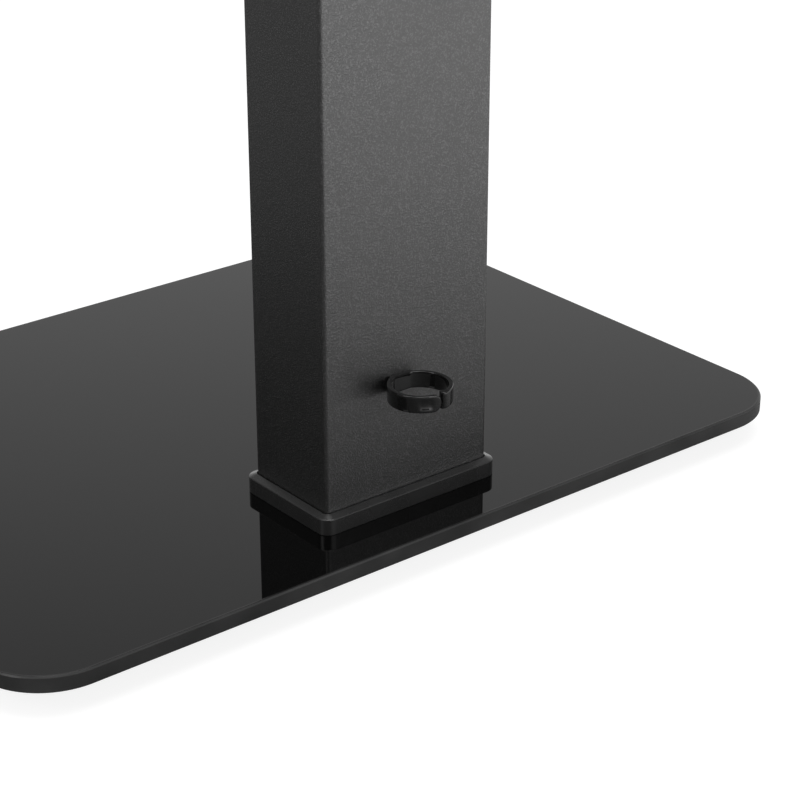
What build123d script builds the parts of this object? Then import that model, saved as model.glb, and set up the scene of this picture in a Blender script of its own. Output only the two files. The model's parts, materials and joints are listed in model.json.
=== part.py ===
from build123d import *

import math
import os

# Television floor stand, in millimetres. The origin is on the floor under the middle of the base.
# +Z is up, -Y is the front, where the screen hangs, and +Y is the back, where the cable clips are.

# Base
base_length = 450.0
base_depth = 327.5
glass_thick = 8.0
glass_corner = 35.0
glass_arris = 0.8
foot_height = 12.0
foot_top_r = 15.0
foot_floor_r = 12.5
foot_edge = 1.0
foot_inset = 34.0

# Clamping parts under the glass
plate_margin_x = 14.8
plate_margin_y = 10.8
plate_thick = 3.0
plate_corner = 9.0
pad_thick = 1.0
pad_margin = 2.0
bolt_r = 4.0
bolt_inset_x = 17.0
bolt_inset_y = 13.0
bolt_head_r = 7.0
bolt_head_h = 4.4
head_bevel = 0.9
bolt_socket_r = 2.9
bolt_clearance = 0.5
bolt_stand = 4.0
stand_out = 1.0
washer_r = 8.4
washer_thick = 1.6
bush_wall = 2.4
bush_gap = 0.2

# Column and its foot
column_width = 94.0
column_depth = 54.0
column_wall = 2.0
column_corner = 2.0
column_length = 820.0
column_setback = 31.5
collar_margin = 4.2
collar_side = 7.8
collar_height = 9.2
collar_floor = 2.0
collar_gap = 0.5
collar_corner = 6.0
collar_ridge = 0.5
foot_plate_thick = 8.0
weld_gap = 0.1

# Cable clips, split rings on the column's back
clip_heights = {"lower": 63.0, "middle": 303.0, "upper": 543.0}
clip_offset = 5.5
clip_r = 14.9
clip_wall = 2.2
clip_band = 8.0
clip_finger_end = 89.0
clip_arm_end = 103.0
clip_tip_round = 3.4
clip_bead_r = 2.0
clip_saddle_width = 13.0
clip_saddle_thick = 3.0
clip_dimple_turn = 62.0
clip_dimple_r = 2.6
clip_dimple_length = 4.4
clip_dimple_depth = 0.7
clip_stem_r = 3.3
clip_hole_gap = 0.2
clip_barb_r = 4.1
clip_barb_tip_r = 2.6
clip_barb_length = 3.2
clip_stem_slot = 1.4

# Mast that slides in the column
mast_wall = 2.0
mast_corner = 3.0
mast_length = 430.0
mast_showing = 160.0
guide_gap = 0.3
guide_fit = 0.2
guide_wall = 4.5
guide_flange = 4.0
guide_skirt = 42.0
shoe_flange = 14.0
shoe_plug = 30.0
shoe_gap = 0.4
shoe_pad_x = 18.0
shoe_pad_y = 12.6

# Height clamp on the column's back
clamp_drop = 20.0
clamp_boss_r = 9.0
clamp_boss_length = 8.0
clamp_stud_r = 4.0
clamp_knob_r = 17.5
clamp_knob_thick = 13.0
brake_size = 24.0
running_gap = 0.05
face_gap = 0.3
knob_lobes = 6
knob_hub_r = 9.0
knob_hub_length = 3.0
knob_roof = 3.0
knob_scallop = 0.36
knob_scallop_out = 1.18
knob_scallop_round = 0.4
knob_edge = 1.2

# Swivel on top of the mast
seat_margin_x = 2.0
seat_margin_y = 8.0
seat_thick = 6.0
seat_corner = 8.0
swivel_bolt_r = 5.0
swivel_head_r = 9.0
swivel_head_h = 5.5
swivel_socket_r = 3.5
swivel_washer_gap = 2.0
swivel_cap_washer_r = 14.0
swivel_washer_thick = 1.5
swivel_nut_r = 9.8
swivel_nut_h = 9.0
swivel_range = 35.0
stop_pin_r = 3.0
stop_edge = 5.0
stop_gap = 0.5
bearing_gap = 0.1

# Swivel bracket, folded from sheet
bracket_width = 98.0
bracket_sheet = 4.0
bracket_clearance = 25.0
bracket_below_axis = 50.0
bracket_bend = 5.0
bracket_back_edge = 8.0
ear_root_high = 44.0

# Tilt joint
tilt_reach = 84.0
tilt_drop = 60.0
tilt_down = 10.0
tilt_up = 5.0
tilt_bolt_r = 4.0
tilt_head_r = 7.0
tilt_head_h = 4.0
tilt_ear_r = 15.0
tilt_ear_gap = 1.0
tilt_stud_radius = 30.0
tilt_slot_ear_r = 11.0
tilt_slot_gap = 0.3
tilt_knob_r = 14.0
tilt_knob_thick = 11.0
tilt_washer_r = 12.0
stud_washer_r = 9.0
stud_washer_thick = 1.5
stud_head_r = 8.0
stud_head_h = 3.2
nut_r = 7.4
nut_h = 5.5

# Tilt bracket, cross rail and the bolts between them
tilt_web_gap = 20.0
tilt_sheet = 3.0
tilt_bend = 4.5
tilt_back_ear_r = 13.0
tilt_stud_ear_r = 10.0
tilt_root_low = 26.0
tilt_root_high = 40.0
tilt_plate_edge = 10.0
tilt_plate_margin = 2.0
tilt_plate_corner = 10.0
tilt_window_strip = 10.0
rail_length = 440.0
rail_height = 96.0
rail_depth = 16.0
rail_lip = 12.0
rail_sheet = 2.5
rail_bend = 1.5
rail_slot_height = 26.0
rail_slot_corner = 6.5
rail_slot_start = 20.0
rail_slot_bridge = 12.0
rail_slot_end = 21.0
rail_cap_thick = 2.5
rail_cap_plug = 10.0
rail_cap_rim = 0.6
rail_bolt_r = 3.0
rail_bolt_head_r = 5.5
rail_bolt_head_h = 3.3
rail_bolt_socket_r = 2.2
rail_bolt_out = 6.5
rail_bolt_edge = 13.0
rail_nut_r = 5.7
rail_nut_h = 5.0

# Arms that the screen is bolted to
arm_end = 20.0
arm_width = 36.0
arm_sheet = 2.5
arm_depth = 21.0
arm_end_depth = 9.0
arm_taper = 60.0
arm_bend = 2.0
arm_rest_x = 100.0
hook_depth = 9.0
hook_shoulder = 12.0
hook_round = 1.5
screen_hole_r = 4.25
screen_holes = (100.0, 150.0, 200.0)
screen_slots = (0.0, 125.0, 175.0)
screen_slot_length = 26.0
lock_tab_drop = 9.0
lock_tab_thick = 3.0
lock_tab_depth = 14.0
lock_screw_r = 2.5
lock_screw_rise = 10.0
lock_head_r = 5.0
lock_head_h = 4.0
lock_socket_r = 2.2

# Levels and planes that follow from the sizes above
glass_top = foot_height + glass_thick
pad_low = foot_height - pad_thick
plate_low = pad_low - plate_thick
washer_low = plate_low - washer_thick
column_bottom = glass_top + collar_floor
column_top = column_bottom + column_length
foot_plate_top = column_bottom + foot_plate_thick
axis_y = base_depth / 2 - column_setback - column_depth / 2
back_y = axis_y + column_depth / 2
inner_width = column_width - 2 * column_wall
inner_depth = column_depth - 2 * column_wall
collar_width = column_width + 2 * collar_margin
collar_depth = column_depth + 2 * collar_margin
plate_length = collar_width + 2 * plate_margin_x
plate_depth = collar_depth + 2 * plate_margin_y
bolt_x = column_width / 2 - bolt_inset_x
bolt_y = column_depth / 2 - bolt_inset_y
inner_back_y = back_y - column_wall
guide_side = guide_fit + guide_wall + guide_gap
mast_width = inner_width - 2 * guide_side
mast_depth = inner_depth - 2 * guide_side
mast_back_y = axis_y + mast_depth / 2
bush_top = column_top + guide_flange
clamp_z = column_top - clamp_drop
mast_top = bush_top + mast_showing
mast_bottom = mast_top - mast_length
seat_top = mast_top + seat_thick
seat_width = mast_width + 2 * seat_margin_x
seat_depth = mast_depth + 2 * seat_margin_y
stop_radius = seat_depth / 2 - stop_edge
swivel_washer_r = stop_radius - stop_pin_r - swivel_washer_gap
bracket_back_r = stop_radius + bracket_back_edge
bracket_reach = column_depth / 2 + bracket_clearance
bracket_under = seat_top + swivel_washer_thick + bearing_gap
bracket_top = bracket_under + bracket_sheet
tilt_y = axis_y - tilt_reach
tilt_z = bracket_top - tilt_drop
ear_outer_x = bracket_width / 2
ear_inner_x = ear_outer_x - bracket_sheet
tilt_ear_x = ear_inner_x - tilt_ear_gap
tilt_ear_back_x = tilt_ear_x - tilt_sheet
tilt_knob_x = ear_outer_x + 2 * bearing_gap + stud_washer_thick
rail_bolt_x = tilt_knob_x + knob_hub_length + tilt_knob_thick + rail_bolt_out
web_u = bracket_reach - tilt_reach
rail_back_u = tilt_web_gap + tilt_sheet
rail_front_u = rail_back_u + rail_depth
arm_back_u = rail_front_u + face_gap
screen_u = arm_back_u + arm_sheet
lip_top = rail_height / 2 + rail_lip
rail_slot_low = rail_bolt_x + rail_slot_start
rail_slot_length = (rail_length / 2 - rail_slot_low - rail_slot_bridge - rail_slot_end) / 2
sides = {"left": -1, "right": 1}
turns = {"x": Rot(0, 90, 0), "y": Rot(-90, 0, 0), "z": Rot(0, 0, 0)}
over = 1.0
same = 0.01


def put(node, *solids):
    """Write one node's solids to its file."""
    shape = solids[0] if len(solids) == 1 else Compound(children=list(solids))
    export_step(shape, f"parts/{node}.step")


def slab(width, depth, corner, low, high, y=axis_y):
    """A rounded rectangle between two levels, on the column's axis unless y says otherwise."""
    return Pos(0, y, low) * extrude(RectangleRounded(width, depth, corner), high - low)


def rod(radius, length, at, along="z"):
    """A cylinder that starts at a point and runs along one axis."""
    return Pos(*at) * turns[along] * extrude(Circle(radius), length)


def ring(outer, inner, length, at, along="z"):
    """A washer or sleeve that starts at a point and runs along one axis."""
    return Pos(*at) * turns[along] * extrude(Circle(outer) - Circle(inner), length)


def nut(radius, inner, height, at, along="z"):
    """A hexagon nut that starts at a point and runs along one axis."""
    return Pos(*at) * turns[along] * extrude(RegularPolygon(radius, 6) - Circle(inner), height)


def across_x(sketch, x, thick):
    """A plate from x to x + thick; the sketch is forward reach and height about the tilt axis."""
    plane = Plane(origin=(x, tilt_y, tilt_z), x_dir=(0, -1, 0), z_dir=(-1, 0, 0))
    return extrude(plane * sketch, -thick)


def across_y(sketch, reach, thick):
    """A plate that starts at a forward reach and grows forward; the sketch is X and height."""
    plane = Plane(origin=(0, tilt_y - reach, tilt_z), x_dir=(1, 0, 0), z_dir=(0, -1, 0))
    return extrude(plane * sketch, thick)


def mirrored(shape):
    """The same shape on the other side of the middle plane."""
    return mirror(shape, about=Plane.YZ)


def folded(points, sheet, bend):
    """The outline of sheet folded along a line of points, with round bends."""
    return trace(FilletPolyline(*points, radius=bend - sheet / 2), sheet)


def hull(*shapes):
    """The smallest convex outline around some sketches."""
    return make_hull([edge for shape in shapes for edge in shape.edges()])


def upright(u_low, u_high, v_low, v_high):
    """A rectangle between two reaches and two heights."""
    return Pos((u_low + u_high) / 2, (v_low + v_high) / 2) * Rectangle(u_high - u_low, v_high - v_low)


def bolt_places():
    """The four bolt axes through the glass."""
    return [(sx * bolt_x, axis_y + sy * bolt_y) for sx in (-1, 1) for sy in (-1, 1)]


def bored(shape, radius, low, high):
    """A shape with the four base bolts' holes cut through it."""
    for x, y in bolt_places():
        shape -= rod(radius, high - low + 2 * over, (x, y, low - over))
    return shape


def headed_bolt(radius, head_r, head_h, shank, socket_r=None):
    """A bolt whose shank points up from the origin and whose bevelled head hangs below it."""
    head = extrude(Circle(head_r), -head_h)
    head = chamfer(head.edges().sort_by(Axis.Z)[0], head_bevel)
    if socket_r:
        head -= Pos(0, 0, -head_h) * extrude(RegularPolygon(socket_r, 6), head_h / 2)
    return head + extrude(Circle(radius), shank)


def star_knob(radius, thick, bore_r):
    """A lobed hand knob that stands on its hub at the origin, with a blind bore."""
    scallop_r = radius * knob_scallop
    outline = Circle(radius)
    for turn in range(knob_lobes):
        outline -= Rot(0, 0, 360 / knob_lobes * turn) * Pos(radius * knob_scallop_out, 0) * Circle(scallop_r)
    outline = fillet(outline.vertices(), scallop_r * knob_scallop_round)
    grip = extrude(outline, thick)
    grip = chamfer(grip.faces().sort_by(Axis.Z)[-1].edges(), knob_edge)
    knob = Pos(0, 0, knob_hub_length) * grip + extrude(Circle(knob_hub_r), knob_hub_length)
    return knob - extrude(Circle(bore_r), knob_hub_length + thick - knob_roof)


def make_base():
    """Glass, feet and the clamping parts below the glass."""
    glass = slab(base_length, base_depth, glass_corner, foot_height, glass_top, 0)
    rims = glass.faces().filter_by(Axis.Z).edges()
    glass = chamfer(rims, glass_arris)
    bush_r = bolt_r + bush_wall
    put("base_glass", bored(glass, bush_r + bush_gap, foot_height, glass_top))

    foot = Pos(0, 0, foot_height / 2) * Cone(foot_floor_r, foot_top_r, foot_height)
    foot = fillet(foot.edges().sort_by(Axis.Z)[0], foot_edge)
    for side, sign_x in sides.items():
        for end, sign_y in {"front": -1, "back": 1}.items():
            x = sign_x * (base_length / 2 - foot_inset)
            y = sign_y * (base_depth / 2 - foot_inset)
            put(f"glass_foot_{end}_{side}", Pos(x, y, 0) * foot)

    hole_r = bolt_r + bolt_clearance
    pad = slab(plate_length - 2 * pad_margin, plate_depth - 2 * pad_margin, plate_corner - pad_margin,
               pad_low, foot_height)
    put("glass_pad", bored(pad, hole_r, pad_low, foot_height))
    plate = slab(plate_length, plate_depth, plate_corner, plate_low, pad_low)
    put("backing_plate", bored(plate, hole_r, plate_low, pad_low))

    shank = foot_plate_top + bolt_stand - washer_low
    bolt = headed_bolt(bolt_r, bolt_head_r, bolt_head_h, shank, bolt_socket_r)
    places = bolt_places()
    put("base_bolts", *[Pos(x, y, washer_low) * bolt for x, y in places])
    put("base_washers", *[ring(washer_r, hole_r, washer_thick, (x, y, washer_low)) for x, y in places])
    put("glass_bushes", *[ring(bush_r, hole_r, glass_thick, (x, y, foot_height)) for x, y in places])


def make_collar():
    """Plastic tray under and around the column's foot, with a top that slopes up to the column."""
    slope_in = collar_margin - collar_gap
    ridge_z = glass_top + collar_side
    top_z = glass_top + collar_height
    wide = RectangleRounded(collar_width, collar_depth, collar_corner)
    narrow_corner = collar_corner - slope_in
    narrow = RectangleRounded(collar_width - 2 * slope_in, collar_depth - 2 * slope_in, narrow_corner)
    body = slab(collar_width, collar_depth, collar_corner, glass_top, ridge_z)
    body += loft([Pos(0, axis_y, ridge_z) * wide, Pos(0, axis_y, top_z) * narrow], ruled=True)
    ridge = body.edges().filter_by_position(Axis.Z, ridge_z - same, ridge_z + same)
    body = fillet(ridge, collar_ridge)
    body -= slab(column_width + 2 * collar_gap, column_depth + 2 * collar_gap, column_corner + collar_gap,
                 column_bottom, top_z + over)
    put("foot_collar", bored(body, bolt_r + bolt_clearance, glass_top, column_bottom))


def make_clip():
    """Split ring on its own axis: a long finger, a short arm with a bead, a saddle and a split stem."""
    middle_r = clip_r - clip_wall / 2
    sweep = 360 - (clip_arm_end - clip_finger_end)
    band = trace(CenterArc((0, 0), middle_r, clip_arm_end, sweep), clip_wall)
    arm_end = math.radians(clip_arm_end)
    bead_at = (clip_r - clip_bead_r) * Vector(math.cos(arm_end), math.sin(arm_end))
    band += Pos(bead_at.X, bead_at.Y) * Circle(clip_bead_r)
    band += Pos(0, -clip_r + clip_saddle_thick / 2) * Rectangle(clip_saddle_width, clip_saddle_thick)
    body = Pos(0, 0, -clip_band / 2) * extrude(band, clip_band)

    finger_end = math.radians(clip_finger_end)
    tip = middle_r * Vector(math.cos(finger_end), math.sin(finger_end))
    corners = [e for e in body.edges() if math.hypot(e.center().X - tip.X, e.center().Y - tip.Y) < same
               and e.length < clip_wall + same]
    body = fillet(corners, clip_tip_round)

    groove = Cylinder(clip_dimple_r, clip_dimple_length)
    groove += Pos(0, 0, clip_dimple_length / 2) * Sphere(clip_dimple_r)
    groove += Pos(0, 0, -clip_dimple_length / 2) * Sphere(clip_dimple_r)
    out = clip_r + clip_dimple_r - clip_dimple_depth
    body -= Rot(0, 0, clip_dimple_turn) * Pos(out, 0, 0) * Rot(90, 0, 0) * groove

    face = Plane(origin=(0, -clip_r, 0), x_dir=(1, 0, 0), z_dir=(0, -1, 0))
    stem = extrude(face * Circle(clip_stem_r), column_wall + weld_gap)
    barb = Pos(0, -clip_r - column_wall - weld_gap - clip_barb_length / 2, 0) * Rot(90, 0, 0) * Cone(
        clip_barb_r, clip_barb_tip_r, clip_barb_length)
    depth = column_wall + weld_gap + clip_barb_length
    slot = Pos(0, -clip_r - depth / 2 - clip_wall / 2, 0) * Box(clip_stem_slot, depth, 2 * clip_barb_r)
    return body + (stem + barb - slot)


def make_column():
    """Outer tube with its tapped foot plate, and the cable clips pushed into its back."""
    tube = slab(column_width, column_depth, column_corner, column_bottom, column_top)
    tube -= slab(inner_width, inner_depth, column_corner / 2, column_bottom - over, column_top + over)
    hole_y = inner_back_y - over
    drill = column_wall + 2 * over
    tube -= rod(clamp_stud_r + bolt_clearance, drill, (0, hole_y, clamp_z), "y")
    clip = make_clip()
    for name, height in clip_heights.items():
        z = glass_top + height
        tube -= rod(clip_stem_r + clip_hole_gap, drill, (clip_offset, hole_y, z), "y")
        put(f"cable_clip_{name}", Pos(clip_offset, back_y + clip_r, z) * clip)
    put("column_tube", tube)

    plate = slab(inner_width - 2 * weld_gap, inner_depth - 2 * weld_gap, column_corner / 2,
                 column_bottom, foot_plate_top)
    put("column_foot_plate", bored(plate, bolt_r + running_gap, column_bottom, foot_plate_top))


def make_height_clamp():
    """Guide bush at the column's top, with the boss, stud, knob and pad that hold the mast."""
    bush = slab(column_width, column_depth, column_corner, column_top, bush_top)
    bush += slab(inner_width - 2 * guide_fit, inner_depth - 2 * guide_fit, column_corner / 2,
                 column_top - guide_skirt, column_top)
    bush -= slab(mast_width + 2 * guide_gap, mast_depth + 2 * guide_gap, mast_corner + guide_gap,
                 column_top - guide_skirt - over, bush_top + over)
    window = brake_size + 2 * guide_gap
    bush -= Pos(0, inner_back_y, clamp_z) * Box(window, inner_depth / 2, window)
    put("column_guide_bush", bush)

    pad_front = mast_back_y + face_gap
    pad_back = inner_back_y - weld_gap
    pad = Box(brake_size, pad_back - pad_front, brake_size)
    put("brake_pad", Pos(0, (pad_front + pad_back) / 2, clamp_z) * pad)
    bore_r = clamp_stud_r + running_gap
    put("clamp_boss", ring(clamp_boss_r, bore_r, clamp_boss_length, (0, back_y, clamp_z), "y"))

    knob_y = back_y + clamp_boss_length + face_gap
    stud_end = knob_y + knob_hub_length + clamp_knob_thick - knob_roof
    put("clamp_stud", rod(clamp_stud_r, stud_end - inner_back_y, (0, inner_back_y, clamp_z), "y"))
    knob = star_knob(clamp_knob_r, clamp_knob_thick, clamp_stud_r)
    put("clamp_knob", Pos(0, knob_y, clamp_z) * turns["y"] * knob)


def make_mast():
    """Inner tube with its plastic shoe."""
    tube = slab(mast_width, mast_depth, mast_corner, mast_bottom, mast_top)
    core_w = mast_width - 2 * mast_wall
    core_d = mast_depth - 2 * mast_wall
    tube -= slab(core_w, core_d, mast_corner - mast_wall, mast_bottom - over, mast_top + over)
    put("mast_tube", tube)

    shoe_low = mast_bottom - shoe_flange
    shoe_w = inner_width - 2 * shoe_gap
    shoe_d = inner_depth - 2 * shoe_gap
    shoe = slab(shoe_w, shoe_d, column_corner / 2, shoe_low, mast_bottom)
    relief_w = shoe_w - 2 * shoe_pad_x
    relief_d = shoe_d - 2 * shoe_pad_y
    wide_relief = Box(relief_w, shoe_d - mast_depth, 3 * shoe_flange)
    narrow_relief = Box(shoe_w - mast_width, relief_d, 3 * shoe_flange)
    for sign in (-1, 1):
        shoe -= Pos(0, axis_y + sign * shoe_d / 2, shoe_low) * wide_relief
        shoe -= Pos(sign * shoe_w / 2, axis_y, shoe_low) * narrow_relief
    shoe += slab(core_w - 2 * guide_fit, core_d - 2 * guide_fit, mast_corner - mast_wall,
                 mast_bottom, mast_bottom + shoe_plug)
    put("mast_shoe", shoe)


def make_swivel():
    """Seat plate on the mast, its stop pin, and the bolt, nut and washers of the swivel."""
    seat = slab(seat_width, seat_depth, seat_corner, mast_top, seat_top)
    drill = seat_thick + 2 * over
    seat -= rod(swivel_bolt_r + running_gap, drill, (0, axis_y, mast_top - over))
    stop_y = axis_y + stop_radius
    seat -= rod(stop_pin_r, drill, (0, stop_y, mast_top - over))
    put("mast_seat_plate", seat)
    put("swivel_stop_pin", rod(stop_pin_r, bracket_top + stand_out - mast_top, (0, stop_y, mast_top)))

    cap_low = bracket_top + bearing_gap
    lower = ring(swivel_washer_r, swivel_bolt_r + running_gap, swivel_washer_thick, (0, axis_y, seat_top))
    upper = ring(swivel_cap_washer_r, swivel_bolt_r + running_gap, swivel_washer_thick, (0, axis_y, cap_low))
    put("swivel_washers", lower, upper)
    head_low = cap_low + swivel_washer_thick
    nut_low = mast_top - swivel_nut_h
    shank = head_low - nut_low + stand_out
    bolt = headed_bolt(swivel_bolt_r, swivel_head_r, swivel_head_h, shank, swivel_socket_r)
    put("swivel_bolt", Pos(0, axis_y, head_low) * Rot(180, 0, 0) * bolt)
    put("swivel_nut", nut(swivel_nut_r, swivel_bolt_r + running_gap, swivel_nut_h, (0, axis_y, nut_low)))


def make_swivel_bracket():
    """Folded bracket: a plate over the seat, a web in front of the column and two slotted ears."""
    web_middle = axis_y - bracket_reach - bracket_sheet / 2
    plate_middle = bracket_top - bracket_sheet / 2
    low = tilt_z - bracket_below_axis
    tip_y = tilt_y - 2 * tilt_ear_r
    side_x = ear_outer_x - bracket_sheet / 2
    channel = folded([(-side_x, tip_y), (-side_x, web_middle), (side_x, web_middle), (side_x, tip_y)],
                     bracket_sheet, bracket_bend)
    body = Pos(0, 0, low) * extrude(channel, bracket_top - low)

    slot_line = CenterArc((0, 0), tilt_stud_radius, 90 - tilt_down, tilt_down + tilt_up)
    ends = [Pos(*(slot_line @ t)) * Circle(tilt_slot_ear_r) for t in (0, 1)]
    root = upright(web_u, web_u + bracket_bend, -bracket_below_axis, ear_root_high)
    ear = hull(Circle(tilt_ear_r), root, *ends)
    ear -= Circle(tilt_bolt_r + running_gap)
    ear -= SlotArc(slot_line, 2 * (tilt_bolt_r + tilt_slot_gap))
    body &= across_x(ear, -bracket_width, 2 * bracket_width)

    back_y_edge = axis_y + bracket_back_r
    fold = folded([(back_y_edge, plate_middle), (web_middle, plate_middle), (web_middle, tilt_z)],
                  bracket_sheet, bracket_bend)
    arm = extrude(Plane.YZ * fold, bracket_width / 2, both=True)
    web_strip = Pos(0, web_middle) * Rectangle(bracket_width - 2 * bracket_bend, bracket_sheet)
    outline = hull(Pos(0, axis_y) * Circle(bracket_back_r), web_strip)
    body += arm & (Pos(0, 0, low) * extrude(outline, bracket_top - low))

    drill = bracket_sheet + 2 * over
    body -= rod(swivel_bolt_r + running_gap, drill, (0, axis_y, bracket_under - over))
    stop_line = CenterArc((0, axis_y), stop_radius, 90 - swivel_range, 2 * swivel_range)
    stop_slot = SlotArc(stop_line, 2 * (stop_pin_r + stop_gap))
    body -= Pos(0, 0, bracket_under - over) * extrude(stop_slot, drill)
    put("swivel_bracket", body)


def make_tilt_joint():
    """Pivot bolts, friction washers and the two locking studs with their knobs."""
    pivot = (tilt_y, tilt_z)
    lock = (tilt_y, tilt_z + tilt_stud_radius)
    bore_r = tilt_bolt_r + running_gap
    head_x = ear_outer_x + bearing_gap
    bolt_end = tilt_ear_back_x - nut_h - stand_out
    stud_end = tilt_knob_x + knob_hub_length + tilt_knob_thick - knob_roof
    bolt = headed_bolt(tilt_bolt_r, tilt_head_r, tilt_head_h, head_x - bolt_end, bolt_socket_r)
    stud = headed_bolt(tilt_bolt_r, stud_head_r, stud_head_h, stud_end - tilt_ear_back_x)
    right = {
        "tilt_pivot_bolts": Pos(head_x, *pivot) * Rot(0, -90, 0) * bolt,
        "tilt_pivot_nuts": nut(nut_r, bore_r, nut_h, (tilt_ear_back_x - nut_h, *pivot), "x"),
        "tilt_washers": ring(tilt_washer_r, bore_r, tilt_ear_gap - bearing_gap, (tilt_ear_x, *pivot), "x"),
        "tilt_studs": Pos(tilt_ear_back_x, *lock) * Rot(0, 90, 0) * stud,
        "tilt_stud_washers": ring(stud_washer_r, bore_r, stud_washer_thick, (head_x, *lock), "x"),
    }
    for node, piece in right.items():
        put(node, mirrored(piece), piece)
    knob = Pos(tilt_knob_x, *lock) * turns["x"] * star_knob(tilt_knob_r, tilt_knob_thick, bore_r)
    put("tilt_knob_right", knob)
    put("tilt_knob_left", mirrored(knob))


def rail_bolt_places():
    """The four bolts between tilt bracket and rail, as X and height about the tilt axis."""
    z = rail_height / 2 - rail_bolt_edge
    return [(sx * rail_bolt_x, sz * z) for sx in (-1, 1) for sz in (-1, 1)]


def make_tilt_bracket():
    """Plate behind the rail, with two ears folded back out of its windows."""
    plate_height = rail_height - 2 * tilt_plate_margin
    plate = RectangleRounded(2 * (rail_bolt_x + tilt_plate_edge), plate_height, tilt_plate_corner)
    for x, z in rail_bolt_places():
        plate -= Pos(x, z) * Circle(rail_bolt_r + running_gap)
    bend_x = tilt_ear_back_x + tilt_bend
    window_w = bend_x - tilt_window_strip
    window_h = tilt_root_low + tilt_root_high
    for sign in (-1, 1):
        middle = (sign * (tilt_window_strip + window_w / 2), (tilt_root_high - tilt_root_low) / 2)
        plate -= Pos(*middle) * Rectangle(window_w, window_h)
    body = across_y(plate, tilt_web_gap, tilt_sheet)

    ear = hull(Circle(tilt_back_ear_r), Pos(0, tilt_stud_radius) * Circle(tilt_stud_ear_r),
               upright(tilt_web_gap, rail_back_u, -tilt_root_low, tilt_root_high))
    ear -= Circle(tilt_bolt_r + running_gap)
    ear -= Pos(0, tilt_stud_radius) * Circle(tilt_bolt_r + running_gap)
    ear_middle = tilt_ear_x - tilt_sheet / 2
    web_middle = tilt_y - tilt_web_gap - tilt_sheet / 2
    tip_y = tilt_y + 2 * tilt_back_ear_r
    corner = [(ear_middle, tip_y), (ear_middle, web_middle), (bend_x, web_middle)]
    fold = folded(corner, tilt_sheet, tilt_bend)
    right = Pos(0, 0, tilt_z - tilt_root_low) * extrude(fold, window_h)
    right &= across_x(ear, tilt_ear_back_x, tilt_bend)
    put("tilt_bracket", body + right + mirrored(right))


def make_rail():
    """Hat-shaped rail with its end caps, and the bolts that hold it to the tilt bracket."""
    flange = rail_height / 2 - rail_sheet / 2
    web = rail_back_u + rail_sheet / 2
    lip = rail_front_u - rail_sheet / 2
    line = [(lip, lip_top), (lip, flange), (web, flange), (web, -flange), (lip, -flange), (lip, -lip_top)]
    rail = across_x(folded(line, rail_sheet, rail_bend + rail_sheet / 2), -rail_length / 2, rail_length)
    cuts = Sketch()
    for x, z in rail_bolt_places():
        cuts += Pos(x, z) * Circle(rail_bolt_r + running_gap)
    slot = RectangleRounded(rail_slot_length, rail_slot_height, rail_slot_corner)
    first = rail_slot_low + rail_slot_length / 2
    for x in (first, first + rail_slot_length + rail_slot_bridge):
        cuts += Pos(x, 0) * slot + Pos(-x, 0) * slot
    rail -= across_y(cuts, rail_back_u - over, rail_sheet + 2 * over)
    put("cross_rail", rail)

    rim = rail_cap_rim
    face = upright(rail_back_u - rim, rail_front_u, -lip_top - rim, lip_top + rim)
    face = fillet(face.vertices(), 2 * rim)
    inner_v = rail_height / 2 - rail_sheet - guide_fit
    plug = upright(rail_back_u + rail_sheet + guide_fit, rail_front_u - rim, -inner_v, inner_v)
    cap = across_x(face, rail_length / 2, rail_cap_thick)
    cap += across_x(plug, rail_length / 2 - rail_cap_plug, rail_cap_plug)
    put("rail_cap_right", cap)
    put("rail_cap_left", mirrored(cap))

    bolt_y = tilt_y - rail_back_u - rail_sheet
    nut_y = tilt_y - tilt_web_gap
    shank = rail_sheet + tilt_sheet + rail_nut_h + stand_out
    bolt = headed_bolt(rail_bolt_r, rail_bolt_head_r, rail_bolt_head_h, shank, rail_bolt_socket_r)
    places = rail_bolt_places()
    put("rail_bolts", *[Pos(x, bolt_y, tilt_z + z) * turns["y"] * bolt for x, z in places])
    put("rail_nuts", *[nut(rail_nut_r, rail_bolt_r + running_gap, rail_nut_h, (x, nut_y, tilt_z + z), "y")
                       for x, z in places])


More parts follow.
